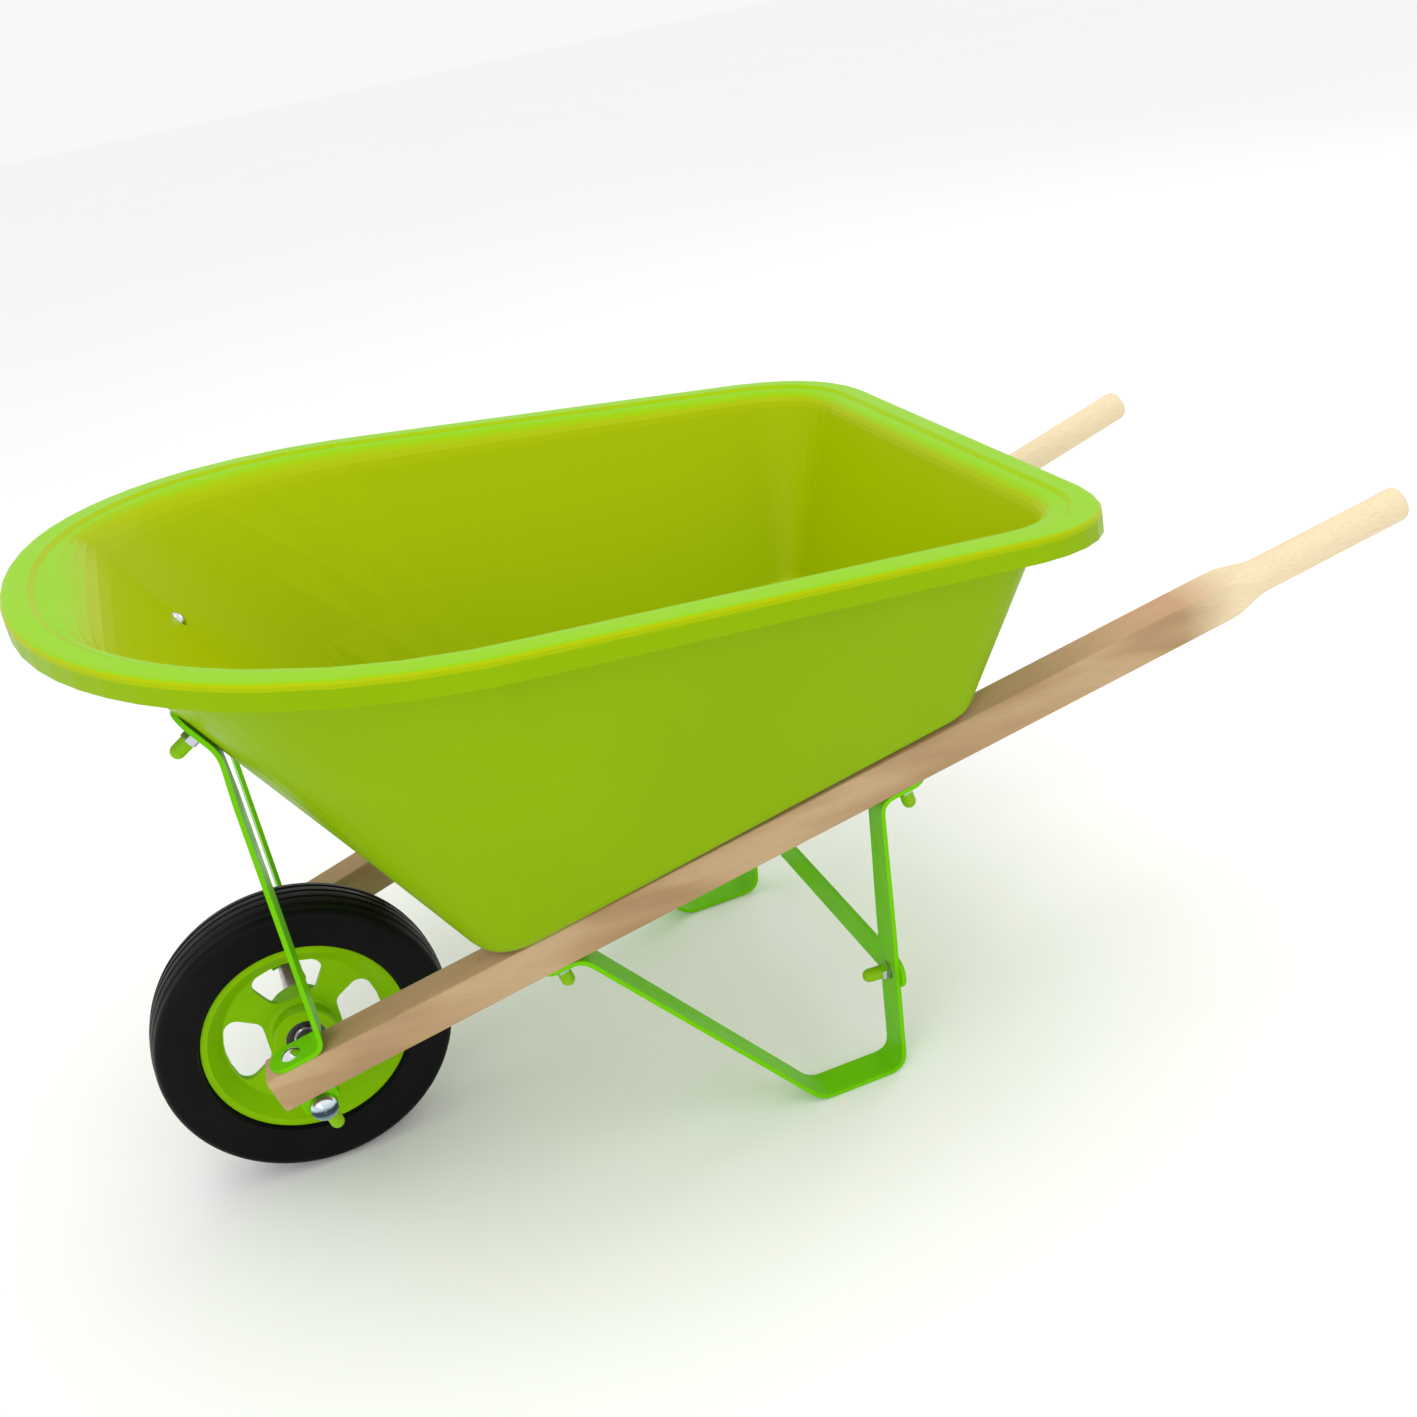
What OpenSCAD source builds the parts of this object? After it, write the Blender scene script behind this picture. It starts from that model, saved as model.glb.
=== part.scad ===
// Wheelbarrow for a child: a moulded tray on two turned wooden rails, bent strip legs and
// braces, and a solid-tyred front wheel that turns on sealed ball bearings.
// +X is the way it rolls, +Y is its left and +Z is up; the ground is Z = 0.
// Heights and lengths in the settings are taken from the axle unless they say otherwise.

/* [Wheel] */
// Radius of the tyre at its tread.
tyre_r = 101.5; // [85:0.5:130]
// Width of the tyre.
tyre_w = 46; // [36:1:60]
// Radius of the lip that holds the tyre.
rim_r = 70; // [58:1:85]
// Radius of the hub's outer wall.
hub_r = 22; // [20:0.5:26]
// Length of the hub along the axle.
hub_len = 38; // [28:1:60]
// Number of windows through the web.
windows = 4; // [3:1:6]

/* [Axle] */
// Radius of the axle rod.
axle_r = 6; // [5:0.5:8]
// Radius of the dome caps on its ends.
dome_r = 9; // [8:0.5:12]
// Thickness of each saddle between rail and axle.
saddle_t = 7; // [5:0.5:12]

/* [Rails] */
// Side of the square rails.
rail_w = 26; // [22:1:34]
// Full length of each rail with its grip.
rail_len = 828; // [690:1:1000]
// Length of rail that stands in front of the axle.
rail_nose = 19; // [12:1:40]
// Distance of each rail's centre from the middle, at the axle.
rail_y = 94.5; // [80:0.5:130]
// Angle in degrees at which each rail runs outward to the rear.
rail_toe = 5.3; // [3:0.1:8]
// Angle in degrees at which the rails rise to the rear.
deck_tilt = 13.06; // [9:0.01:17]
// Radius of the turned grips.
grip_r = 11.8; // [10:0.1:15]
// Length of the turned grips.
grip_len = 106; // [85:1:150]

/* [Tray] */
// Wall thickness of the tray.
tray_t = 3; // [2:0.1:5]
// Front edge of the tray's floor.
floor_front = -124.5; // [-170:0.5:-115]
// Rear edge of the tray's floor.
floor_rear = -462; // [-560:1:-400]
// Half width of the floor at its front edge.
floor_front_y = 128; // [118:1:170]
// Half width of the floor at its rear edge.
floor_rear_y = 151; // [125:1:200]
// Front end of the rim.
rim_front = 84.5; // [60:0.5:120]
// Rear end of the rim.
rim_rear = -547; // [-660:1:-480]
// Half width of the rim at its widest.
rim_y = 261.5; // [220:0.5:320]
// Half width of the rim at its rear end.
rim_rear_y = 234.5; // [200:0.5:290]
// Height of the rim above the ground, over the axle.
rim_z = 444.5; // [380:0.5:520]
// Drop of the turned-down lip.
lip_drop = 15; // [10:0.5:25]

/* [Legs and braces] */
// Thickness of the bent steel strips.
strip_t = 3; // [2:0.5:5]
// Width of the strips.
strip_w = 25; // [20:1:32]
// Front end of the feet.
foot_front = -314; // [-360:1:-280]
// Rear end of the feet.
foot_rear = -377; // [-430:1:-365]
// Distance of each foot's centre from the middle.
foot_y = 139.5; // [125:0.5:170]
// Height of the strap that ties the legs together.
tie_z = 73; // [50:1:120]

/* [Fasteners] */
// Radius of the bolt shanks.
bolt_r = 3; // [2.5:0.25:4]

/* [Hidden] */

// Finishes.
green_plastic = [0.60, 0.75, 0.02];
green_paint = [0.42, 0.74, 0.0];
green_vinyl = [0.50, 0.76, 0.02];
wood = [0.80, 0.66, 0.48];
rubber = [0.05, 0.05, 0.055];
zinc = [0.66, 0.66, 0.68];
chrome = [0.82, 0.84, 0.88];

// Directions along the deck, which is the sloping plane of the rails' top faces.
side_names = [1, -1];
tilt_tan = tan(deck_tilt);
toe_tan = tan(rail_toe);
axle_depth = rail_w + saddle_t + axle_r;
deck_over_axle = tyre_r + axle_depth / cos(deck_tilt);

// Rails.
rail_ease_r = rail_w * 0.69;
shoulder_len = 34;
grip_end_round = 4;
shoulder_steps = 8;

// Middle of the whole object along X, so that it stands centred on the origin.
tail_u = rail_len - rail_nose;
rail_axis_up = axle_depth - rail_w / 2;
tail_lean = cos(rail_toe) * cos(deck_tilt);
tail_reach = (grip_r - grip_end_round) * sqrt(1 - tail_lean * tail_lean);
tail_x = rail_axis_up * sin(deck_tilt) - tail_u * tail_lean;
middle_x = (tyre_r + tail_x - tail_reach) / 2;

// Bearings: on a 12 mm axle these are the common 12 x 28 x 8 size.
bearing_r = axle_r + 8;
bearing_w = 8;
bearing_recess = 1.5;
bearing_in = hub_len / 2 - bearing_recess - bearing_w;
ball_r = 2.3;
ball_pitch_r = axle_r + 4.05;
ball_count = 8;
inner_ring_r = axle_r + 2.4;
outer_ring_in_r = axle_r + 5.8;
race_gap = 0.3;
shield_r = axle_r + 3.1;
shield_t = 0.5;
fit_gap = 0.02;

// Wheel.
barrel_r = rim_r - 5;
barrel_in_r = barrel_r - 4;
lip_t = 2;
lip_in = tyre_w / 2 - 8;
rim_face = lip_in + lip_t;
dish_r = rim_r - 4.5;
web_r = rim_r - 15;
web_face = 6;
web_t = 4.5;
hub_fillet = 3;
hub_chamfer = 1;
hub_bore_r = axle_r + 5.5;
window_margin = 0.8;
window_in_r = hub_r + hub_fillet + window_margin;
window_out_r = web_r - window_margin;
window_half = 30;
window_round = 8;
tread_grooves = 4;
groove_w = 1.6;
groove_depth = 1.4;
tread_crown = 1.5;
shoulder_r = 6;
bead_step = 2;
bead_bulge = 2.5;

// Axle, from the middle outward.
axle_flat = 1;
dome_clear = 0.4;
saddle_w = bolt_r * 4;
dome_foot = rail_y + saddle_w / 2 + dome_clear;
dome_wall = 2;
axle_half = dome_foot + 3;
spacer_r = axle_r + 1.5;
saddle_len = 24;
spacer_gap = 0.1;

// Tray, as outlines of points that all have the same count and go round the same way.
flange_w = 20;
flange_step = 2;
edge_round = 4;
side_bulge_x = -157;
rim_power = 2.16;
rim_slope = 0.111;
rim_corner = 74;
floor_corner = 30;
floor_rear_corner = 18;
floor_round = 12;
wall_top_x = 41;
wall_top_inset = 33;
wall_rear_inset = 28;
facet_y = 110;
facet_side_x = -40;
blend_share = 0.07;
floor_share = 0.06;
points_front = 4;
points_corner = 9;
points_side = 12;
points_rear_corner = 7;
points_rear = 3;
wall_rows = 4;
bend_steps = 5;

// Legs, in distances along the deck from the axle.
leg_tab_front = -161;
leg_bolt_front = -174;
leg_bend_front = -189;
leg_bend_rear = -406;
leg_bolt_rear = -425;
leg_tab_rear = -441;
leg_bend_run = 9;
foot_front_run = 8.5;
foot_rear_run = 12;

// Front braces. The nose and the lower bend are distances along the deck from the axle.
brace_w = 24;
brace_nose = 15;
brace_bend = -21.2;
brace_top_z = 360;
brace_y = 101;
brace_tab = 17;
brace_run = 8;
brace_twist_z = brace_top_z - 35;

// Strap between the legs, and the height above it where the struts begin to twist.
tie_w = 21;
tie_overhang = 16;
tie_flat = 37;

// Fasteners.
hole_r = bolt_r + 0.2;
head_r = bolt_r * 2.15;
head_h = bolt_r * 1.1;
seat_clear = 0.8;
washer_r = bolt_r * 2;
washer_t = 1.2;
nut_r = bolt_r * 1.92;
nut_h = bolt_r * 1.65;
thread_tail = bolt_r * 2.4;
cover_r = bolt_r * 1.55;
cover_len = bolt_r * 4.3;

$fn = 96;

// ---- Frames of reference ----

module from_axle() {
    translate([-middle_x, 0, 0]) children();
}

// Flat on the rails' top faces, with the axle straight below the frame's origin.
module on_deck() {
    from_axle() translate([0, 0, tyre_r])
        rotate([0, deck_tilt, 0])
            translate([0, 0, axle_depth])
                children();
}

// The same, turned along one rail's own centre line.
module on_rail(side) {
    on_deck() translate([0, side * rail_y, 0])
        rotate([0, 0, -side * rail_toe])
            children();
}

// At the axle, with Z along the axle towards +Y.
module on_axle() {
    from_axle() translate([0, 0, tyre_r])
        rotate([-90, 0, 0])
            children();
}

// ---- Heights and sideways positions ----

function deck_height(x) = deck_over_axle - x * tilt_tan;
function rim_height(x) = rim_z + rim_slope * x;
function rail_offset(along) = rail_y - along * toe_tan;
// Point of the XZ plane that lies at a distance along the deck and a height above it.
function deck_point(along, up) = [
    along * cos(deck_tilt) + (axle_depth + up) * sin(deck_tilt),
    tyre_r - along * sin(deck_tilt) + (axle_depth + up) * cos(deck_tilt)
];

// ---- Curves ----

function curve(a, b, c, s) = (1 - s) * (1 - s) * a + 2 * s * (1 - s) * b + s * s * c;
function bend(a, b, c, steps) = [for (i = [0:steps]) curve(a, b, c, i / steps)];
function mix(a, b, s) = (1 - s) * a + s * b;
function unit(v) = v / norm(v);
function toward(a, b, run) = a + unit(b - a) * run;

// A path with its corners rounded, where the run beside a corner isn't 0.
function rounded(path, runs) = [
    for (i = [0:len(path) - 1])
        if (runs[i] == 0)
            path[i]
        else
            each bend(
                toward(path[i], path[i - 1], runs[i]), path[i],
                toward(path[i], path[i + 1], runs[i]), bend_steps
            )
];

// Sideways direction at a point of a flat path, long enough to keep straight runs parallel.
function path_turn(path, i) =
    let (
        a = path[max(i - 1, 0)],
        b = path[i],
        c = path[min(i + 1, len(path) - 1)],
        into = unit(i == 0 ? c - b : b - a),
        out = unit(i == len(path) - 1 ? b - a : c - b),
        half = unit(into + out)
    )
    [-half[1], half[0]] / (half * into);
function reversed(list) = [for (i = [len(list) - 1:-1:0]) list[i]];

// A skin over a stack of rings, closed at both ends by triangles round a middle point.
module ring_skin(rings) {
    n = len(rings[0]);
    last = len(rings) - 1;
    ends = [rings[0], rings[last]];
    hub = len(rings) * n;
    polyhedron(
        points = concat(
            [for (ring = rings) each ring],
            [for (ring = ends) mix(ring[0], ring[n / 2], 0.5)]
        ),
        faces = concat(
            [for (i = [0:n - 1]) [i, (i + 1) % n, hub]],
            [
                for (j = [0:last - 1], i = [0:n - 1])
                    let (
                        a = j * n + i,
                        b = j * n + (i + 1) % n
                    )
                    each i < n / 2
                        ? [[a, a + n, b + n], [a, b + n, b]]
                        : [[a, a + n, b], [b, a + n, b + n]]
            ],
            [for (i = [0:n - 1]) [last * n + (i + 1) % n, last * n + i, hub + 1]]
        )
    );
}

// ---- Bent strips ----

// A strip's path is a list of points [x, z, y, skew], where skew is how far the strip's width
// runs forward for each millimetre outward. It lets a strip follow a rail and stand square below.
function strip_path(path, r) = concat(
    [for (a = [15:15:90]) toward(path[0], path[1], r * (1 - cos(a)))],
    [for (i = [1:len(path) - 2]) path[i]],
    [for (a = [90:-15:15]) toward(path[len(path) - 1], path[len(path) - 2], r * (1 - cos(a)))]
);
function strip_halves(path, r) = concat(
    [for (a = [15:15:90]) r * sin(a)],
    [for (i = [1:len(path) - 2]) r],
    [for (a = [90:-15:15]) r * sin(a)]
);

// A strip with rounded ends, bent along its path.
module bent_strip(path, width) {
    points = strip_path(path, width / 2);
    halves = strip_halves(path, width / 2);
    line = [for (p = points) [p[0], p[1]]];
    ring_skin([
        for (i = [0:len(points) - 1])
            let (
                p = points[i],
                skin = path_turn(line, i) * strip_t / 2
            )
            [
                for (c = [[1, -1], [1, 1], [-1, 1], [-1, -1]])
                    let (skew = c[0] * halves[i] * p[3])
                    [
                        p[0] + c[1] * skin[0] + skew,
                        p[2] + c[0] * halves[i],
                        p[1] + c[1] * skin[1] - skew * tilt_tan
                    ]
            ]
    ]);
}

// Point of a strip that lies flat along a rail's top or underside.
function rail_tab(along, up) =
    let (p = deck_point(along, up))
    [p[0], p[1], rail_offset(along), toe_tan];

// ---- Tray ----

// Half outlines run from the middle of the front, round the left side, to the middle of the rear.
function both_halves(half) = concat(
    half,
    [for (i = [len(half) - 2:-1:1]) [half[i][0], -half[i][1]]]
);
function floor_side(x) =
    floor_front_y + (floor_rear_y - floor_front_y) * (floor_front - x) / (floor_front - floor_rear);
function floor_edge(inset) =
    let (
        front = floor_front - inset,
        rear = floor_rear + inset,
        c = floor_corner,
        r = floor_rear_corner
    )
    both_halves(concat(
        [for (i = [0:points_front - 1]) [front, (floor_side(front) - inset - c) * i / points_front]],
        bend(
            [front, floor_side(front) - inset - c],
            [front, floor_side(front) - inset],
            [front - c, floor_side(front - c) - inset], points_corner
        ),
        [
            for (i = [1:points_side])
                let (x = mix(front - c, rear + r, i / points_side))
                [x, floor_side(x) - inset]
        ],
        [
            for (i = [1:points_rear_corner])
                curve(
                    [rear + r, floor_side(rear + r) - inset],
                    [rear, floor_side(rear) - inset],
                    [rear, floor_side(rear) - inset - r], i / points_rear_corner
                )
        ],
        [
            for (i = [1:points_rear])
                [rear, (floor_side(rear) - inset - r) * (1 - i / points_rear)]
        ]
    ));

// The rim narrows straight to the rear and closes round the front as a flattened half oval.
function oval_x(y, inset) =
    side_bulge_x + (rim_front - side_bulge_x - inset)
        * pow(1 - pow(y / (rim_y - inset), rim_power), 1 / rim_power);
function oval_y(x, inset) =
    (rim_y - inset)
        * pow(1 - pow((x - side_bulge_x) / (rim_front - side_bulge_x - inset), rim_power), 1 / rim_power);
function rim_side(x, inset) =
    x > side_bulge_x
        ? oval_y(x, inset)
        : mix(rim_y, rim_rear_y, (side_bulge_x - x) / (side_bulge_x - rim_rear)) - inset;
function rim_rest(inset, rear_inset) =
    let (
        rear = rim_rear + rear_inset,
        c = rim_corner - inset * 0.8
    )
    concat(
        [
            for (i = [1:points_side])
                let (x = mix(facet_side_x, rear + c, i / points_side))
                [x, rim_side(x, inset)]
        ],
        [
            for (i = [1:points_rear_corner])
                curve(
                    [rear + c, rim_side(rear + c, inset)],
                    [rear + c * 0.06, rim_side(rear, inset) - c * 0.06],
                    [rear, rim_side(rear, inset) - c], i / points_rear_corner
                )
        ],
        [for (i = [1:points_rear]) [rear, (rim_side(rear, inset) - c) * (1 - i / points_rear)]]
    );
function rim_edge(inset) =
    let (
        start = asin(facet_y / (rim_y - inset)),
        finish = atan2(oval_y(facet_side_x, inset), facet_side_x - side_bulge_x)
    )
    both_halves(concat(
        [for (i = [0:points_front - 1]) let (y = facet_y * i / points_front) [oval_x(y, inset), y]],
        [
            for (i = [0:points_corner])
                let (
                    y = mix(facet_y, oval_y(facet_side_x, inset), sin(90 * i / points_corner)),
                    x = oval_x(min(y, oval_y(facet_side_x, inset)), inset)
                )
                [x, y]
        ],
        rim_rest(inset, inset)
    ));

// Where the flat walls would meet the rim: straight across the front, then a chamfer to the side.
function wall_edge(inset) =
    let (
        front = wall_top_x - inset,
        side = rim_side(facet_side_x, wall_top_inset + inset)
    )
    both_halves(concat(
        [for (i = [0:points_front - 1]) [front, facet_y * i / points_front]],
        bend(
            [front, facet_y],
            [mix(front, facet_side_x, 0.36), mix(facet_y, side, 0.64)],
            [facet_side_x, side], points_corner
        ),
        rim_rest(wall_top_inset + inset, wall_rear_inset + inset)
    ));

function on_floor(edge, up) = [for (p = edge) [p[0], p[1], deck_height(p[0]) + up]];
function on_rim(edge, up) = [for (p = edge) [p[0], p[1], rim_height(p[0]) + up]];

// Rows of points up a wall, between its two rounded ends.
function wall_between(low, top) = [
    for (i = [1:wall_rows - 1]) mix(low, top, mix(floor_share, 1 - blend_share, i / wall_rows))
];

module tray_shell() {
    low_out = on_floor(floor_edge(0), 0);
    low_in = on_floor(floor_edge(low_inset), floor_up);
    top_out = on_rim(wall_edge(0), -tray_t);
    top_in = on_rim(wall_edge(top_inset), -flange_step);
    ring_skin(concat(
        bend(on_floor(floor_edge(floor_round), 0), low_out, mix(low_out, top_out, floor_share), bend_steps),
        wall_between(low_out, top_out),
        bend(
            mix(low_out, top_out, 1 - blend_share), top_out,
            on_rim(rim_edge(flange_w), -tray_t - flange_step), bend_steps
        ),
        [
            on_rim(rim_edge(tray_t + edge_round), -tray_t - 0.2),
            on_rim(rim_edge(tray_t), -tray_t - edge_round / 2),
            on_rim(rim_edge(tray_t), -lip_drop),
            on_rim(rim_edge(0), -lip_drop)
        ],
        bend(on_rim(rim_edge(0), -edge_round), on_rim(rim_edge(0), 0), on_rim(rim_edge(edge_round), 0), 3),
        [
            on_rim(rim_edge(flange_w - 2 * flange_step), 0),
            on_rim(rim_edge(flange_w - flange_step / 2), -flange_step)
        ],
        bend(
            on_rim(rim_edge(flange_w), -flange_step), top_in,
            mix(low_in, top_in, 1 - blend_share), bend_steps
        ),
        reversed(wall_between(low_in, top_in)),
        bend(
            mix(low_in, top_in, floor_share), low_in,
            on_floor(floor_edge(floor_round - 1), floor_up), bend_steps
        )
    ));
}

// Slope of the front wall, the insets that give it the tray's thickness, and its two bolts.
wall_run = wall_top_x - floor_front;
wall_rise = rim_height(wall_top_x) - tray_t - deck_height(floor_front);
wall_angle = atan2(wall_rise, wall_run);
wall_sin = sin(wall_angle);
wall_cos = cos(wall_angle);
floor_up = tray_t / cos(deck_tilt);
low_inset = (tray_t - floor_up * wall_cos) / (wall_sin + tilt_tan * wall_cos);
top_inset = (tray_t - (tray_t - flange_step) * wall_cos) / (wall_sin - rim_slope * wall_cos);
brace_bolt_z = brace_top_z + brace_tab * 0.8;
brace_bolt_x = floor_front + (brace_bolt_z - deck_height(floor_front)) / tan(wall_angle);

module tray() {
    color(green_plastic) difference() {
        from_axle() tray_shell();
        at_leg_bolts() {
            hole();
            translate([0, 0, tray_t]) cylinder(r = head_r + seat_clear, h = 2 * floor_round);
        }
        at_brace_bolts() hole();
    }
}

// ---- Rails ----

module rail(side) {
    shoulder = rail_len - grip_len - shoulder_len;
    color(wood) difference() {
        on_rail(side) translate([rail_nose, 0, -rail_w / 2]) rotate([0, -90, 0]) intersection() {
            translate([-rail_w / 2, -rail_w / 2, 0]) cube([rail_w, rail_w, rail_len]);
            rotate_extrude() polygon(concat(
                [[0, 0], [rail_ease_r - 1, 0], [rail_ease_r, 1]],
                [
                    for (i = [0:shoulder_steps])
                        let (s = i / shoulder_steps)
                        [mix(rail_ease_r, grip_r, (1 - cos(180 * s)) / 2), shoulder + shoulder_len * s]
                ],
                [
                    for (a = [0:30:90])
                        [
                            grip_r - grip_end_round * (1 - cos(a)),
                            rail_len - grip_end_round * (1 - sin(a))
                        ]
                ],
                [[0, rail_len]]
            ));
        }
        at_axle_bolts() hole();
        at_leg_bolts() hole();
    }
}

// ---- Legs and the strap between them ----

tab_up = -rail_w - strip_t / 2;
strut_foot = [foot_rear, strip_t / 2, foot_y, 0];
strut_top = rail_tab(leg_bend_rear, tab_up);
strut_lean = atan2(strut_foot[0] - strut_top[0], strut_top[1] - strut_foot[1]);
// Point of the rear strut at a height, with the strip square across.
function strut_at(z) =
    let (p = mix(strut_foot, strut_top, (z - strut_foot[1]) / (strut_top[1] - strut_foot[1])))
    [p[0], p[1], p[2], 0];
tie_x = strut_at(tie_z)[0];
tie_y = strut_at(tie_z)[2];

module leg(side) {
    path = rounded(
        [
            rail_tab(leg_tab_front, tab_up), rail_tab(leg_bend_front, tab_up),
            [foot_front, strip_t / 2, foot_y, 0], strut_foot,
            strut_at(tie_z + tie_flat), strut_top, rail_tab(leg_tab_rear, tab_up)
        ],
        [0, leg_bend_run, foot_front_run, foot_rear_run, 0, leg_bend_run, 0]
    );
    color(green_paint) difference() {
        from_axle() mirror([0, side < 0 ? 1 : 0, 0]) bent_strip(path, strip_w);
        at_leg_bolts() hole();
        at_tie_bolts() hole();
    }
}

module leg_tie() {
    reach = tie_y + tie_overhang - tie_w / 2;
    color(green_paint) difference() {
        on_strut() {
            translate([-tie_w / 2, -reach, 0]) cube([tie_w, 2 * reach, strip_t]);
            for (side = side_names)
                translate([0, side * reach, 0]) cylinder(r = tie_w / 2, h = strip_t);
        }
        at_tie_bolts() hole();
    }
}

// On the rear faces of the legs' struts, with Z to the rear.
module on_strut() {
    from_axle() translate([tie_x, 0, tie_z])
        rotate([0, -90 - strut_lean, 0])
            translate([0, 0, strip_t / 2])
                children();
}

// ---- Front braces ----

module front_brace(side) {
    stand_off = strip_t / 2 / sin(wall_angle);
    wall_x = floor_front + (brace_top_z - deck_height(floor_front)) / tan(wall_angle);
    low = rail_tab(brace_bend, strip_t / 2);
    top = [wall_x + stand_off, brace_top_z, brace_y, 0];
    twist = mix(low, top, (brace_twist_z - low[1]) / (top[1] - low[1]));
    path = rounded(
        [
            rail_tab(brace_nose, strip_t / 2), low,
            [twist[0], twist[1], twist[2], toe_tan], top,
            top + 2 * brace_tab * [wall_cos, wall_sin, 0, 0]
        ],
        [0, brace_run, 0, brace_run, 0]
    );
    color(green_paint) difference() {
        from_axle() mirror([0, side < 0 ? 1 : 0, 0]) bent_strip(path, brace_w);
        at_axle_bolts() hole();
        at_brace_bolts() hole();
    }
}

// ---- Axle and what sits on it ----

module axle_saddle(side) {
    color(green_paint) difference() {
        on_deck() translate([-saddle_len / 2, side * rail_y - saddle_w / 2, -axle_depth])
            cube([saddle_len, saddle_w, saddle_t + axle_r]);
        on_axle() cylinder(r = axle_r, h = 4 * rail_y, center = true);
        at_axle_bolts() hole();
    }
}

module axle() {
    color(zinc) difference() {
        on_axle() cylinder(r = axle_r, h = 2 * axle_half, center = true);
        for (side = side_names)
            on_deck() translate([-axle_r, side * rail_y - saddle_w / 2, -axle_depth - 2 * axle_r + axle_flat])
                cube([2 * axle_r, saddle_w, axle_r]);
        at_axle_bolts() hole();
    }
}

module axle_cap(side) {
    color(chrome) mirror([0, side < 0 ? 1 : 0, 0]) on_axle() translate([0, 0, dome_foot])
        rotate_extrude() polygon(concat(
            [[axle_r, 0], [dome_r, 0], [dome_r, dome_wall]],
            [
                for (a = [10:10:80])
                    [dome_r * cos(a), dome_wall + (dome_r - dome_wall) * sin(a)]
            ],
            [[0, dome_r], [0, axle_half - dome_foot], [axle_r, axle_half - dome_foot]]
        ));
}

module axle_spacer(side) {
    start = hub_len / 2 - bearing_recess;
    finish = rail_y - saddle_w / 2 - spacer_gap;
    color(zinc) mirror([0, side < 0 ? 1 : 0, 0]) on_axle() translate([0, 0, start])
        difference() {
            cylinder(r = spacer_r, h = finish - start);
            translate([0, 0, -1]) cylinder(r = axle_r + fit_gap, h = finish - start + 2);
        }
}

// ---- Wheel ----

module window() {
    inner = window_in_r + window_round;
    outer = window_out_r - window_round;
    offset_angle = asin(window_round / outer);
    lean = window_half - offset_angle;
    near_y = max(inner * sin(lean) - window_round * 0.2, 1);
    hull() {
        for (s = side_names) {
            translate([inner, s * near_y, 0]) cylinder(r = window_round, h = 4 * tyre_w, center = true, $fn = 32);
            for (k = [0.5, 1])
                rotate([0, 0, s * lean * k])
                    translate([outer, 0, 0])
                        cylinder(r = window_round, h = 4 * tyre_w, center = true, $fn = 32);
        }
        translate([outer, 0, 0]) cylinder(r = window_round, h = 4 * tyre_w, center = true, $fn = 32);
    }
}

// Rim, dished web and hub in one piece, with a seat for a bearing in each end of the hub.
module wheel_centre() {
    hub_half = hub_len / 2;
    color(green_plastic) on_axle() difference() {
        union() {
            rotate_extrude() polygon([
                [barrel_in_r, -rim_face], [rim_r, -rim_face], [rim_r, -lip_in],
                [barrel_r, -lip_in], [barrel_r, lip_in], [rim_r, lip_in],
                [rim_r, rim_face], [dish_r, rim_face], [web_r, web_face],
                [hub_r + hub_fillet, web_face], [hub_r - hub_chamfer, web_face + hub_fillet],
                [hub_r - hub_chamfer, web_face - web_t], [web_r, web_face - web_t],
                [barrel_in_r, web_face]
            ]);
            rotate_extrude() polygon([
                [hub_bore_r, -hub_half], [hub_r - hub_chamfer, -hub_half],
                [hub_r, -hub_half + hub_chamfer], [hub_r, hub_half - hub_chamfer],
                [hub_r - hub_chamfer, hub_half], [hub_bore_r, hub_half]
            ]);
        }
        for (i = [0:windows - 1])
            rotate([0, 0, 90 + 360 * i / windows]) window();
        for (s = side_names)
            translate([0, 0, s > 0 ? bearing_in : -bearing_in - hub_half])
                cylinder(r = bearing_r, h = hub_half);
    }
}

// Solid tyre: ribbed tread, round shoulders and a foot held between the rim's lips.
module tyre() {
    half = tyre_w / 2;
    tread_half = half - shoulder_r;
    pitch = 2 * tread_half / tread_grooves;
    shoulder_in = tyre_r - tread_crown - shoulder_r;
    color(rubber) on_axle() rotate_extrude() polygon(concat(
        [[barrel_r, -lip_in], [rim_r, -lip_in], [rim_r + bead_step, -half + bead_bulge]],
        [for (a = [0:15:90]) [shoulder_in + shoulder_r * sin(a), -tread_half - shoulder_r * cos(a)]],
        [
            for (i = [0:tread_grooves - 1])
                let (
                    y = -tread_half + pitch * (i + 0.5),
                    rib = y + pitch / 2,
                    top = tyre_r - tread_crown * pow(y / tread_half, 2)
                )
                each [
                    [top, y - groove_w], [top - groove_depth, y - groove_w / 2],
                    [top - groove_depth, y + groove_w / 2], [top, y + groove_w],
                    if (i < tread_grooves - 1) [tyre_r - tread_crown * pow(rib / tread_half, 2), rib]
                ]
        ],
        [for (a = [90:-15:0]) [shoulder_in + shoulder_r * sin(a), tread_half + shoulder_r * cos(a)]],
        [[rim_r + bead_step, half - bead_bulge], [rim_r, lip_in], [barrel_r, lip_in]]
    ));
}

// ---- Bearings ----

module on_bearing(side) {
    mirror([0, side < 0 ? 1 : 0, 0]) on_axle() translate([0, 0, bearing_in]) children();
}

module race(groove_r) {
    translate([0, 0, bearing_w / 2]) rotate_extrude()
        translate([ball_pitch_r, 0]) circle(r = groove_r, $fn = 48);
}

module bearing_outer_ring(side) {
    color(zinc) on_bearing(side) difference() {
        cylinder(r = bearing_r - fit_gap, h = bearing_w);
        translate([0, 0, -1]) cylinder(r = outer_ring_in_r, h = bearing_w + 2);
        race(ball_r + fit_gap);
    }
}

module bearing_inner_ring(side) {
    color(chrome) on_bearing(side) difference() {
        cylinder(r = inner_ring_r, h = bearing_w);
        translate([0, 0, -1]) cylinder(r = axle_r + fit_gap, h = bearing_w + 2);
        race(ball_r + race_gap);
    }
}

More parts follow.
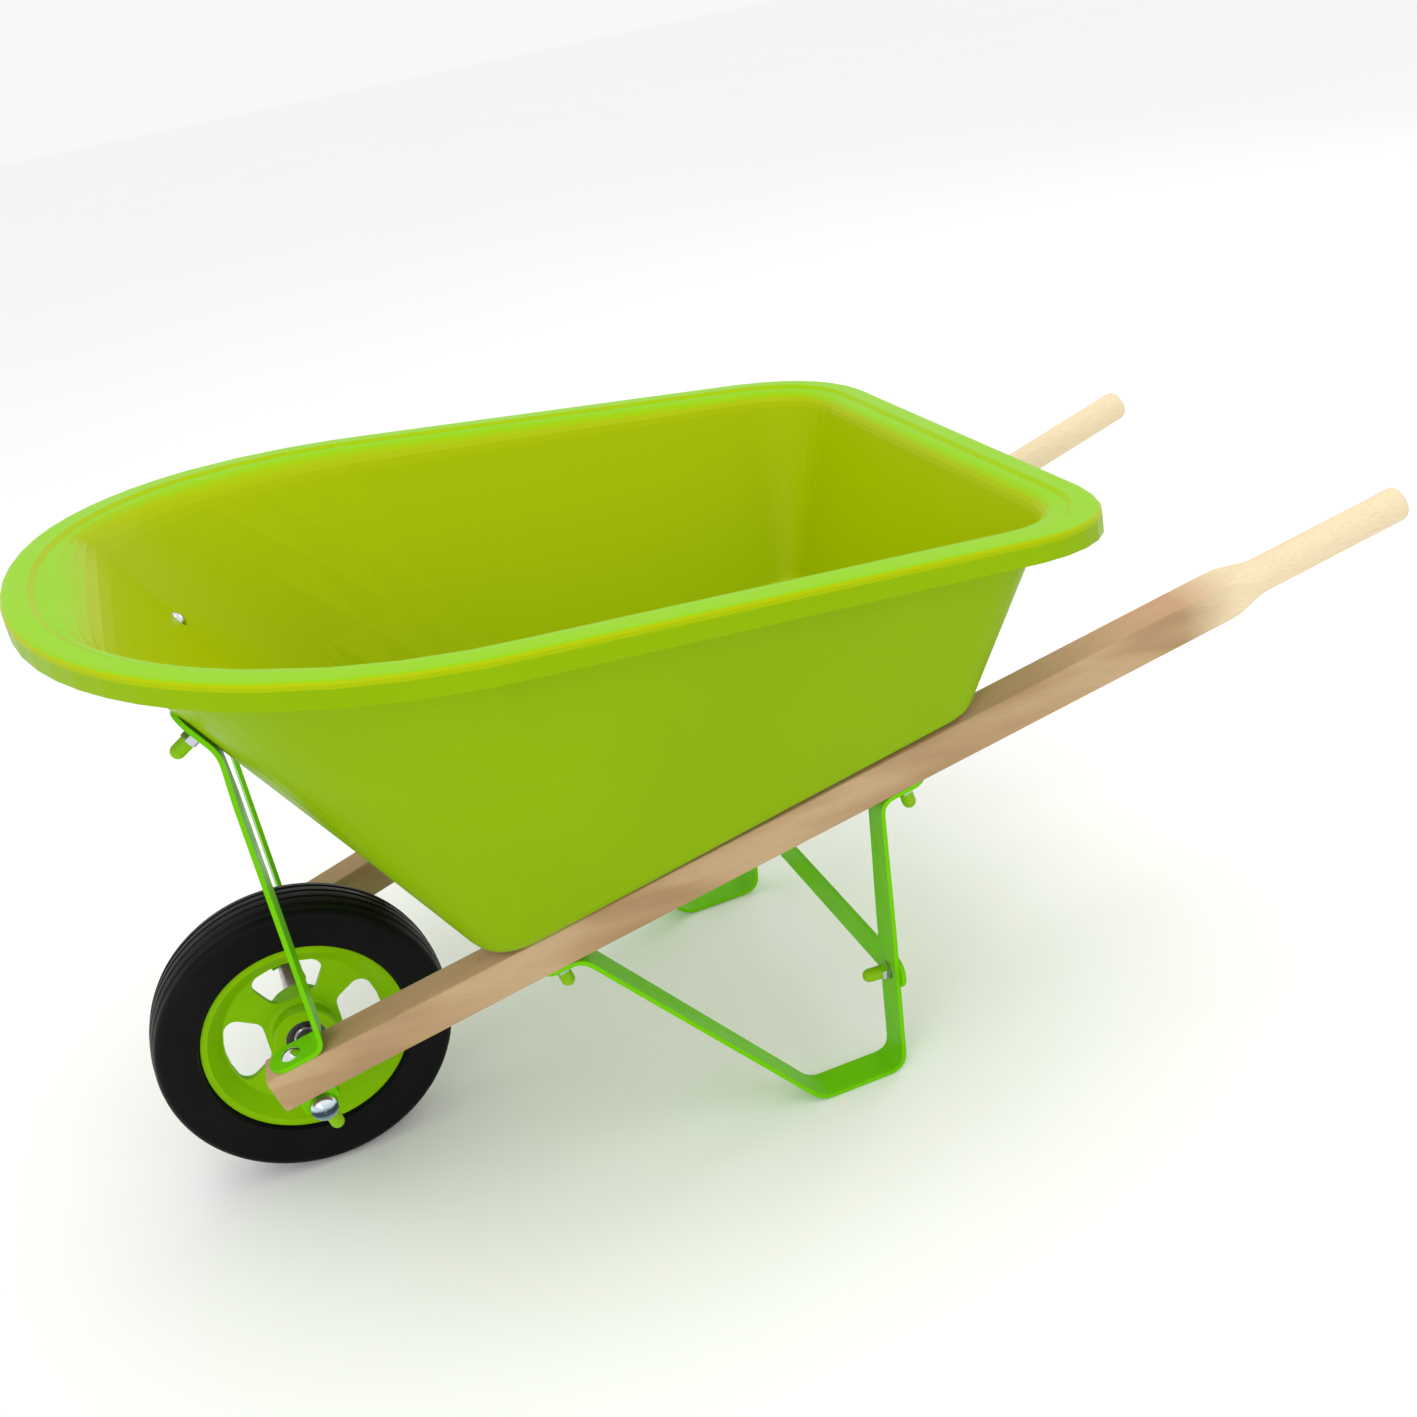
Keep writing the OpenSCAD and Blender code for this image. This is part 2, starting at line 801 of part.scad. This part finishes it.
module bearing_shield(side) {
    color([0.12, 0.12, 0.13]) on_bearing(side)
        translate([0, 0, bearing_w - 2 * shield_t]) difference() {
            cylinder(r = outer_ring_in_r, h = shield_t);
            translate([0, 0, -1]) cylinder(r = shield_r, h = shield_t + 2);
        }
}

module bearing_balls(side) {
    color(chrome) on_bearing(side)
        for (i = [0:ball_count - 1])
            rotate([0, 0, 360 * i / ball_count])
                translate([ball_pitch_r, 0, bearing_w / 2])
                    sphere(r = ball_r, $fn = 32);
}

// ---- Bolted joints: each frame has Z towards the bolt's head ----

module at_axle_bolts() {
    for (side = side_names)
        on_deck() translate([0, side * rail_y, 0]) children();
}

module at_leg_bolts() {
    for (side = side_names)
        for (along = [leg_bolt_front, leg_bolt_rear])
            on_deck() translate([along, side * rail_offset(along), 0]) children();
}

module at_brace_bolts() {
    for (side = side_names)
        from_axle() translate([brace_bolt_x, side * brace_y, brace_bolt_z])
            rotate([0, -wall_angle, 0])
                children();
}

module at_tie_bolts() {
    for (side = side_names)
        on_strut() translate([0, side * tie_y, 0]) children();
}

axle_seat = -axle_depth - axle_r + axle_flat;
leg_seat = -rail_w - strip_t;

module hole() {
    cylinder(r = hole_r, h = 4 * rail_w, center = true);
}

module bolt(under_head, seat) {
    end = seat - washer_t - nut_h - thread_tail;
    ball = (head_r * head_r + head_h * head_h) / (2 * head_h);
    color(chrome) {
        translate([0, 0, end]) cylinder(r = bolt_r, h = under_head - end + head_h / 3);
        translate([0, 0, under_head]) intersection() {
            translate([0, 0, head_h - ball]) sphere(r = ball);
            cylinder(r = head_r, h = head_h);
        }
    }
}

module washer(seat) {
    color(zinc) translate([0, 0, seat - washer_t]) difference() {
        cylinder(r = washer_r, h = washer_t);
        translate([0, 0, -1]) cylinder(r = hole_r, h = washer_t + 2);
    }
}

module nut(seat) {
    color(zinc) translate([0, 0, seat - washer_t - nut_h]) difference() {
        cylinder(r = nut_r, h = nut_h, $fn = 6);
        translate([0, 0, -1]) cylinder(r = bolt_r, h = nut_h + 2);
    }
}

// Soft cover pushed over the end of a bolt, with a round tip.
module cover(seat) {
    color(green_vinyl) translate([0, 0, seat - washer_t - nut_h]) rotate([180, 0, 0])
        rotate_extrude() polygon(concat(
            [[bolt_r, 0], [cover_r, 0]],
            [
                for (a = [0:15:75])
                    [cover_r * cos(a), cover_len - cover_r + cover_r * sin(a)]
            ],
            [[0, cover_len], [0, thread_tail], [bolt_r, thread_tail]]
        ));
}

tray();
rail(1);  // left_rail
rail(-1);  // right_rail
leg(1);  // left_leg
leg(-1);  // right_leg
leg_tie();
front_brace(1);  // left_front_brace
front_brace(-1);  // right_front_brace
axle_saddle(1);  // left_axle_saddle
axle_saddle(-1);  // right_axle_saddle
axle();
axle_cap(1);  // left_axle_cap
axle_cap(-1);  // right_axle_cap
axle_spacer(1);  // left_axle_spacer
axle_spacer(-1);  // right_axle_spacer
wheel_centre();
tyre();
bearing_outer_ring(1);  // left_bearing_outer_ring
bearing_outer_ring(-1);  // right_bearing_outer_ring
bearing_inner_ring(1);  // left_bearing_inner_ring
bearing_inner_ring(-1);  // right_bearing_inner_ring
bearing_shield(1);  // left_bearing_shield
bearing_shield(-1);  // right_bearing_shield
bearing_balls(1);  // left_bearing_balls
bearing_balls(-1);  // right_bearing_balls
at_axle_bolts() bolt(strip_t, axle_seat);  // axle_bolts
at_axle_bolts() washer(axle_seat);  // axle_bolt_washers
at_axle_bolts() nut(axle_seat);  // axle_bolt_nuts
at_axle_bolts() cover(axle_seat);  // axle_bolt_covers
at_leg_bolts() bolt(tray_t, leg_seat);  // leg_bolts
at_leg_bolts() washer(leg_seat);  // leg_bolt_washers
at_leg_bolts() nut(leg_seat);  // leg_bolt_nuts
at_leg_bolts() cover(leg_seat);  // leg_bolt_covers
at_brace_bolts() bolt(tray_t, -strip_t);  // brace_bolts
at_brace_bolts() washer(-strip_t);  // brace_bolt_washers
at_brace_bolts() nut(-strip_t);  // brace_bolt_nuts
at_brace_bolts() cover(-strip_t);  // brace_bolt_covers
at_tie_bolts() bolt(strip_t, -strip_t);  // tie_bolts
at_tie_bolts() washer(-strip_t);  // tie_bolt_washers
at_tie_bolts() nut(-strip_t);  // tie_bolt_nuts
at_tie_bolts() cover(-strip_t);  // tie_bolt_covers
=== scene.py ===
import math

import bpy
from mathutils import Matrix, Vector


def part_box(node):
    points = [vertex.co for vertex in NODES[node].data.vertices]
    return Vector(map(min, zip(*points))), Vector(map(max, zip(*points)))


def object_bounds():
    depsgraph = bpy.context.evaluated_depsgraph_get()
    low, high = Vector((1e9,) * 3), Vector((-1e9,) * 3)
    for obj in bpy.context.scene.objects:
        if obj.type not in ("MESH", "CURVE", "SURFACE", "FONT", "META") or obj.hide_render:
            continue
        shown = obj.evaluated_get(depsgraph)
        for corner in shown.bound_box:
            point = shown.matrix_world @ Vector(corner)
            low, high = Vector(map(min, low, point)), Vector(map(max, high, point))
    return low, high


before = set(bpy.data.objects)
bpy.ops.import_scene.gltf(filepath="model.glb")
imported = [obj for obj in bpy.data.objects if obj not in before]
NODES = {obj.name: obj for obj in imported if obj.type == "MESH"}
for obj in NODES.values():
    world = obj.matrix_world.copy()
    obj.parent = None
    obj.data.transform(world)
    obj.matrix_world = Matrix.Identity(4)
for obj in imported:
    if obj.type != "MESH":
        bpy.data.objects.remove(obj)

cad_low, cad_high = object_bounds()

# Where the axle stands along X in the row frame.
wheel_low, wheel_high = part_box("tyre")
AXLE_X = (wheel_low.x + wheel_high.x) / 2

# Angle of the rails in plan, and where the square rails end and their turned grips begin.
RAIL_TOE = math.radians(5.3)
GRIP_X = cad_low.x + 0.14
SQUARE_END_X = GRIP_X + 0.03
GRIP_FULL_X = GRIP_X - 0.01

# The camera that was fitted to the photograph: angles in degrees, its place in metres from the
# ground under the axle, and a lens for a 36 mm wide picture.
CAMERA_YAW = 74.41
CAMERA_PITCH = 25.21
CAMERA_ROLL = -11.10
CAMERA_PLACE = (-0.0422, 1.0305, 0.7412)
SENSOR_WIDTH = 36.0
LENS = 42.53

# Stage, in metres.
FLOOR_SIZE = 24.0
FLOOR_GAP = 0.0005
ROOM_LIGHT = 0.94


# ---- Node helpers ----

class Graph:
    """A material's nodes, with short calls for the kinds this object needs."""

    def __init__(self, name):
        self.material = bpy.data.materials.new(name)
        self.material.use_nodes = True
        self.tree = self.material.node_tree
        self.tree.nodes.clear()
        self.output = self.tree.nodes.new("ShaderNodeOutputMaterial")
        self.shader = self.tree.nodes.new("ShaderNodeBsdfPrincipled")
        self.link(self.shader.outputs["BSDF"], self.output.inputs["Surface"])
        source = self.tree.nodes.new("ShaderNodeTexCoord")
        self.coords = source.outputs["Object"]
        self.facing = source.outputs["Normal"]

    def link(self, a, b):
        self.tree.links.new(a, b)

    def set(self, **values):
        for name, value in values.items():
            self.shader.inputs[name.replace("_", " ")].default_value = value

    def moved(self, rotation=(0, 0, 0), scale=(1, 1, 1), location=(0, 0, 0)):
        n = self.tree.nodes.new("ShaderNodeMapping")
        n.inputs["Rotation"].default_value = rotation
        n.inputs["Scale"].default_value = scale
        n.inputs["Location"].default_value = location
        self.link(self.coords, n.inputs["Vector"])
        return n.outputs["Vector"]

    def noise(self, scale, detail=4.0, rough=0.5, vector=None):
        n = self.tree.nodes.new("ShaderNodeTexNoise")
        n.inputs["Scale"].default_value = scale
        n.inputs["Detail"].default_value = detail
        n.inputs["Roughness"].default_value = rough
        self.link(vector or self.coords, n.inputs["Vector"])
        return n.outputs["Fac"]

    def wave(self, scale, distortion, vector, detail=2.0, detail_scale=1.0):
        n = self.tree.nodes.new("ShaderNodeTexWave")
        n.wave_type = "BANDS"
        n.bands_direction = "X"
        n.inputs["Scale"].default_value = scale
        n.inputs["Distortion"].default_value = distortion
        n.inputs["Detail"].default_value = detail
        n.inputs["Detail Scale"].default_value = detail_scale
        self.link(vector, n.inputs["Vector"])
        return n.outputs["Fac"]

    def ramp(self, fac, stops):
        n = self.tree.nodes.new("ShaderNodeValToRGB")
        e = n.color_ramp.elements
        while len(e) < len(stops):
            e.new(0.5)
        for item, (pos, col) in zip(e, stops):
            item.position = pos
            item.color = (*col, 1.0)
        self.link(fac, n.inputs["Fac"])
        return n.outputs["Color"]

    def span(self, fac, low, high, a=0.0, b=1.0):
        n = self.tree.nodes.new("ShaderNodeMapRange")
        n.inputs["From Min"].default_value = a
        n.inputs["From Max"].default_value = b
        n.inputs["To Min"].default_value = low
        n.inputs["To Max"].default_value = high
        self.link(fac, n.inputs["Value"])
        return n.outputs["Result"]

    def total(self, a, b):
        n = self.tree.nodes.new("ShaderNodeMath")
        n.operation = "ADD"
        self.link(a, n.inputs[0])
        self.link(b, n.inputs[1])
        return n.outputs[0]

    def mix(self, fac, a, b):
        n = self.tree.nodes.new("ShaderNodeMix")
        n.data_type = "RGBA"
        for key, v in ((0, fac), (6, a), (7, b)):
            if isinstance(v, tuple):
                n.inputs[key].default_value = (*v, 1.0)
            else:
                self.link(v, n.inputs[key])
        return n.outputs[2]

    def axis(self, vector, name):
        n = self.tree.nodes.new("ShaderNodeSeparateXYZ")
        self.link(vector, n.inputs[0])
        return n.outputs[name]

    def bump(self, height, strength, distance, normal=None):
        n = self.tree.nodes.new("ShaderNodeBump")
        n.inputs["Strength"].default_value = strength
        n.inputs["Distance"].default_value = distance
        self.link(height, n.inputs["Height"])
        if normal is not None:
            self.link(normal, n.inputs["Normal"])
        return n.outputs["Normal"]

    def colour(self, socket):
        self.link(socket, self.shader.inputs["Base Color"])

    def rough(self, socket):
        self.link(socket, self.shader.inputs["Roughness"])

    def normal(self, socket):
        self.link(socket, self.shader.inputs["Normal"])


# ---- Materials ----

def tray_plastic():
    """Lime polypropylene: a faint cloud in the colour, painted light on faces turned upwards, a slightly
    rippled semi-gloss skin.
    """
    g = Graph("tray_plastic")
    cloud = g.ramp(g.noise(5.0, 3.0), [(0.3, (0.235, 0.405, 0.0)), (0.7, (0.262, 0.440, 0.0))])
    tilt = g.axis(g.facing, "Z")
    # Painted light: faces turned upwards, mostly the slanted inner walls, are painted brighter and yellower
    # as if lit from above.
    painted_upward_light = g.mix(g.span(tilt, 0.0, 1.0, 0.0, 0.25), cloud, (0.385, 0.485, 0.0))
    # Painted light: flat faces turned straight up are painted a greener tone, set by how light from above
    # falls on them.
    g.colour(g.mix(g.span(tilt, 0.0, 1.0, 0.75, 0.97), painted_upward_light, (0.262, 0.555, 0.0)))
    g.rough(g.span(g.noise(14.0, 5.0), 0.26, 0.36, 0.3, 0.7))
    g.normal(g.bump(g.noise(900.0, 2.0), 0.08, 0.0002, g.bump(g.noise(9.0, 1.0), 0.06, 0.004)))
    g.set(Specular_IOR_Level=0.05)
    return g.material


def green_paint(name, low, high):
    """Powder coat: a fine orange peel and a little variation in tone."""
    g = Graph(name)
    g.colour(g.ramp(g.noise(30.0, 4.0), [(0.3, low), (0.7, high)]))
    g.rough(g.span(g.noise(60.0, 4.0), 0.28, 0.42, 0.3, 0.7))
    g.normal(g.bump(g.noise(700.0, 2.0), 0.12, 0.0003))
    g.set(Specular_IOR_Level=0.05)
    return g.material


def rail_wood(name, turn):
    """Beech-like wood: fine grain along the rail, top faces painted lighter and pinker as painted light
    from above, rings on the sawn front end.
    """
    g = Graph(name)
    turned = (0.0, 0.0, turn)
    rings = g.wave(1.5, 5.0, g.moved(rotation=turned, scale=(0.9, 26.0, 16.0)), 3.0, 1.4)
    pores = g.noise(34.0, 8.0, 0.65, g.moved(rotation=turned, scale=(1.2, 30.0, 30.0)))
    flecks = g.noise(90.0, 4.0, 0.6, g.moved(rotation=turned, scale=(2.5, 18.0, 18.0)))
    tone = g.noise(2.2, 3.0, 0.5, g.moved(rotation=turned, scale=(1.6, 22.0, 22.0)))
    base = g.ramp(rings, [
        (0.0, (0.37, 0.230, 0.115)), (0.55, (0.45, 0.295, 0.155)), (1.0, (0.52, 0.360, 0.200)),
    ])
    base = g.mix(g.span(tone, 0.0, 0.5, 0.35, 0.7), base, (0.57, 0.40, 0.235))
    # Painted light: faces turned upwards are painted lighter and pinker, as under light from above.
    painted_top_light = g.span(g.axis(g.facing, "Z"), 0.0, 0.65, 0.6, 0.95)
    base = g.mix(painted_top_light, base, (0.66, 0.375, 0.235))
    grip = g.span(g.axis(g.coords, "X"), 0.0, 0.8, SQUARE_END_X, GRIP_FULL_X)
    base = g.mix(grip, base, (0.88, 0.75, 0.50))
    base = g.mix(g.span(pores, 0.0, 0.4, 0.5, 0.8), base, (0.40, 0.235, 0.115))
    base = g.mix(g.span(flecks, 0.0, 0.35, 0.62, 0.8), base, (0.34, 0.20, 0.10))
    end_rings = g.wave(70.0, 2.0, g.moved(rotation=(0.0, 0.5, 0.0), location=(0.0, 0.04, 0.02)), 2.0, 2.0)
    end_wood = g.ramp(end_rings, [(0.0, (0.42, 0.25, 0.13)), (1.0, (0.66, 0.44, 0.27))])
    sawn = g.span(g.axis(g.facing, "X"), 0.0, 1.0, 0.75, 0.9)
    g.colour(g.mix(sawn, base, end_wood))
    g.rough(g.span(pores, 0.42, 0.62, 0.3, 0.7))
    g.normal(g.bump(pores, 0.18, 0.0004))
    g.set(Specular_IOR_Level=0.12)
    return g.material


def tyre_rubber():
    """Near-black rubber with a thin dusty bloom and a fine moulded texture."""
    g = Graph("tyre_rubber")
    g.colour(g.ramp(g.noise(16.0, 5.0), [(0.35, (0.003, 0.003, 0.0034)), (0.75, (0.0065, 0.0065, 0.0075))]))
    g.rough(g.span(g.noise(50.0, 4.0), 0.36, 0.5, 0.3, 0.7))
    g.normal(g.bump(g.noise(420.0, 4.0), 0.22, 0.0004))
    g.set(Specular_IOR_Level=0.08)
    return g.material


def seal_rubber():
    """Dark bearing seal."""
    g = Graph("seal_rubber")
    g.colour(g.ramp(g.noise(200.0, 3.0), [(0.3, (0.006, 0.006, 0.007)), (0.7, (0.016, 0.016, 0.018))]))
    g.rough(g.span(g.noise(300.0, 2.0), 0.35, 0.5))
    g.normal(g.bump(g.noise(900.0, 2.0), 0.1, 0.0001))
    return g.material


def cover_vinyl():
    """Soft dipped vinyl on the bolt ends."""
    g = Graph("cover_vinyl")
    g.colour(g.ramp(g.noise(60.0, 3.0), [(0.3, (0.20, 0.44, 0.0)), (0.7, (0.25, 0.51, 0.0))]))
    g.rough(g.span(g.noise(120.0, 3.0), 0.38, 0.5))
    g.normal(g.bump(g.noise(500.0, 2.0), 0.1, 0.0002))
    g.set(Specular_IOR_Level=0.14)
    return g.material


def plating(name, low, high, rough_low, rough_high, painted_shade_colour):
    """Plated steel, with a painted shade on its lower side."""
    g = Graph(name)
    metal = g.ramp(g.noise(90.0, 4.0), [(0.3, low), (0.7, high)])
    # Painted shade: faces turned downwards are painted towards the darker shade colour.
    painted_lower_shade = g.span(g.axis(g.facing, "Z"), 0.85, 0.0, -0.5, 0.35)
    g.colour(g.mix(painted_lower_shade, metal, painted_shade_colour))
    g.rough(g.span(g.noise(220.0, 5.0), rough_low, rough_high, 0.3, 0.7))
    g.normal(g.bump(g.noise(600.0, 3.0), 0.06, 0.0002))
    g.set(Metallic=1.0)
    return g.material


def cap_chrome():
    """Polished dome: bluish chrome with a painted reflection of a room, a dark band across its middle and a
    painted highlight above it.
    """
    g = Graph("cap_chrome")
    height = g.span(g.axis(g.facing, "Z"), 0.0, 1.0, -1.0, 1.0)
    painted_reflection_band = g.total(height, g.span(g.noise(120.0, 2.0), -0.03, 0.03))
    # Painted reflection: the colour follows the facing, with a dark band across the middle and a bright
    # painted highlight above it.
    g.colour(g.ramp(painted_reflection_band, [
        (0.0, (0.16, 0.24, 0.30)), (0.30, (0.30, 0.42, 0.50)), (0.42, (0.05, 0.08, 0.12)),
        (0.56, (0.04, 0.06, 0.09)), (0.66, (0.55, 0.68, 0.76)), (0.85, (0.86, 0.92, 0.96)),
        (1.0, (0.30, 0.42, 0.50)),
    ]))
    g.rough(g.span(g.noise(260.0, 4.0), 0.05, 0.11, 0.3, 0.7))
    g.normal(g.bump(g.noise(700.0, 2.0), 0.04, 0.0001))
    g.set(Metallic=1.0)
    return g.material


def stage_surface(name, colour):
    """Matt surface for the floor, with a barely uneven tone."""
    g = Graph(name)
    g.colour(g.ramp(g.noise(2.0, 2.0), [(0.3, colour), (0.7, tuple(c * 0.995 for c in colour))]))
    g.set(Roughness=0.9, Specular_IOR_Level=0.1)
    return g.material


def dress(material, *names):
    """Put one material on CAD nodes."""
    for name in names:
        mesh = NODES[name].data
        mesh.materials.clear()
        mesh.materials.append(material)


def dress_nodes():
    """Every CAD node gets its finish."""
    paint = green_paint("green_paint", (0.150, 0.54, 0.0), (0.172, 0.59, 0.0))
    wheel = green_paint("wheel_paint", (0.225, 0.50, 0.0), (0.255, 0.54, 0.0))
    # The last colour of each plating is the painted shade on its lower side.
    chrome = plating(
        "bright_plating", (0.66, 0.69, 0.74), (0.78, 0.80, 0.84), 0.06, 0.14, (0.06, 0.09, 0.14)
    )
    zinc = plating(
        "zinc_plating", (0.36, 0.34, 0.33), (0.50, 0.48, 0.46), 0.25, 0.4, (0.10, 0.085, 0.08)
    )
    dark_steel = plating(
        "dark_steel", (0.07, 0.075, 0.08), (0.12, 0.125, 0.13), 0.2, 0.3, (0.03, 0.03, 0.035)
    )
    cap = cap_chrome()
    cover = cover_vinyl()
    seal = seal_rubber()
    dress(tray_plastic(), "tray")
    dress(rail_wood("left_rail_wood", RAIL_TOE), "left_rail")
    dress(rail_wood("right_rail_wood", -RAIL_TOE), "right_rail")
    dress(paint, "left_leg", "right_leg", "leg_tie", "left_front_brace", "right_front_brace",
          "left_axle_saddle", "right_axle_saddle")
    dress(wheel, "wheel_centre")
    dress(tyre_rubber(), "tyre")
    for side in ("left", "right"):
        dress(seal, side + "_bearing_shield")
        dress(dark_steel, side + "_bearing_outer_ring")
        dress(zinc, side + "_axle_spacer")
        dress(chrome, side + "_bearing_inner_ring", side + "_bearing_balls")
        dress(cap, side + "_axle_cap")
    dress(zinc, "axle")
    for kind in ("axle_bolt", "leg_bolt", "brace_bolt", "tie_bolt"):
        dress(chrome, kind + "s", kind + "_nuts")
        dress(zinc, kind + "_washers")
        dress(cover, kind + "_covers")


# ---- Stage ----

def photo_camera():
    """The photograph's camera, placed from the axle."""
    yaw, pitch, roll = (math.radians(a) for a in (CAMERA_YAW, CAMERA_PITCH, CAMERA_ROLL))
    place = Vector((AXLE_X + CAMERA_PLACE[0], CAMERA_PLACE[1], CAMERA_PLACE[2]))
    back = Vector((math.cos(yaw) * math.cos(pitch), math.sin(yaw) * math.cos(pitch), math.sin(pitch)))
    right = Vector((-math.sin(yaw), math.cos(yaw), 0.0))
    up = back.cross(right)
    across = right * math.cos(roll) + up * math.sin(roll)
    above = up * math.cos(roll) - right * math.sin(roll)
    data = bpy.data.cameras.new("photo_camera")
    data.sensor_width = SENSOR_WIDTH
    data.lens = LENS
    data.clip_start = 0.05
    data.clip_end = 60.0
    camera = bpy.data.objects.new("photo_camera", data)
    camera.matrix_world = Matrix((
        (across.x, above.x, back.x, place.x),
        (across.y, above.y, back.y, place.y),
        (across.z, above.z, back.z, place.z),
        (0.0, 0.0, 0.0, 1.0),
    ))
    bpy.context.scene.collection.objects.link(camera)
    bpy.context.scene.camera = camera


def floor():
    """A pale floor, a hair below the tyre and the feet."""
    bpy.ops.mesh.primitive_plane_add(size=FLOOR_SIZE, location=(0, 0, -FLOOR_GAP))
    plane = bpy.context.object
    plane.name = "floor"
    plane.data.materials.append(stage_surface("floor_white", (0.97, 0.97, 0.97)))


def lamp(name, place, target, size, power):
    """A soft box that faces a target."""
    data = bpy.data.lights.new(name, "AREA")
    data.shape = "RECTANGLE"
    data.size, data.size_y = size
    data.energy = power
    o = bpy.data.objects.new(name, data)
    o.location = place
    o.rotation_euler = (Vector(target) - Vector(place)).to_track_quat("-Z", "Y").to_euler()
    bpy.context.scene.collection.objects.link(o)


def lights():
    """An even white room with soft boxes above, beside the camera and behind."""
    world = bpy.data.worlds.new("studio")
    world.use_nodes = True
    room = world.node_tree.nodes["Background"]
    room.inputs["Color"].default_value = (1.0, 1.0, 1.0, 1.0)
    room.inputs["Strength"].default_value = ROOM_LIGHT
    bpy.context.scene.world = world
    lamp("overhead", (0.0, 0.3, 2.6), (0.0, 0.0, 0.2), (2.0, 1.6), 16.0)
    lamp("side", (1.6, 2.2, 1.3), (0.0, 0.0, 0.25), (1.2, 0.9), 12.0)
    lamp("back", (-2.4, -1.4, 1.8), (0.0, 0.0, 0.3), (1.2, 0.8), 6.0)
    bpy.context.scene.view_settings.view_transform = "Standard"


photo_camera()
dress_nodes()
floor()
lights()
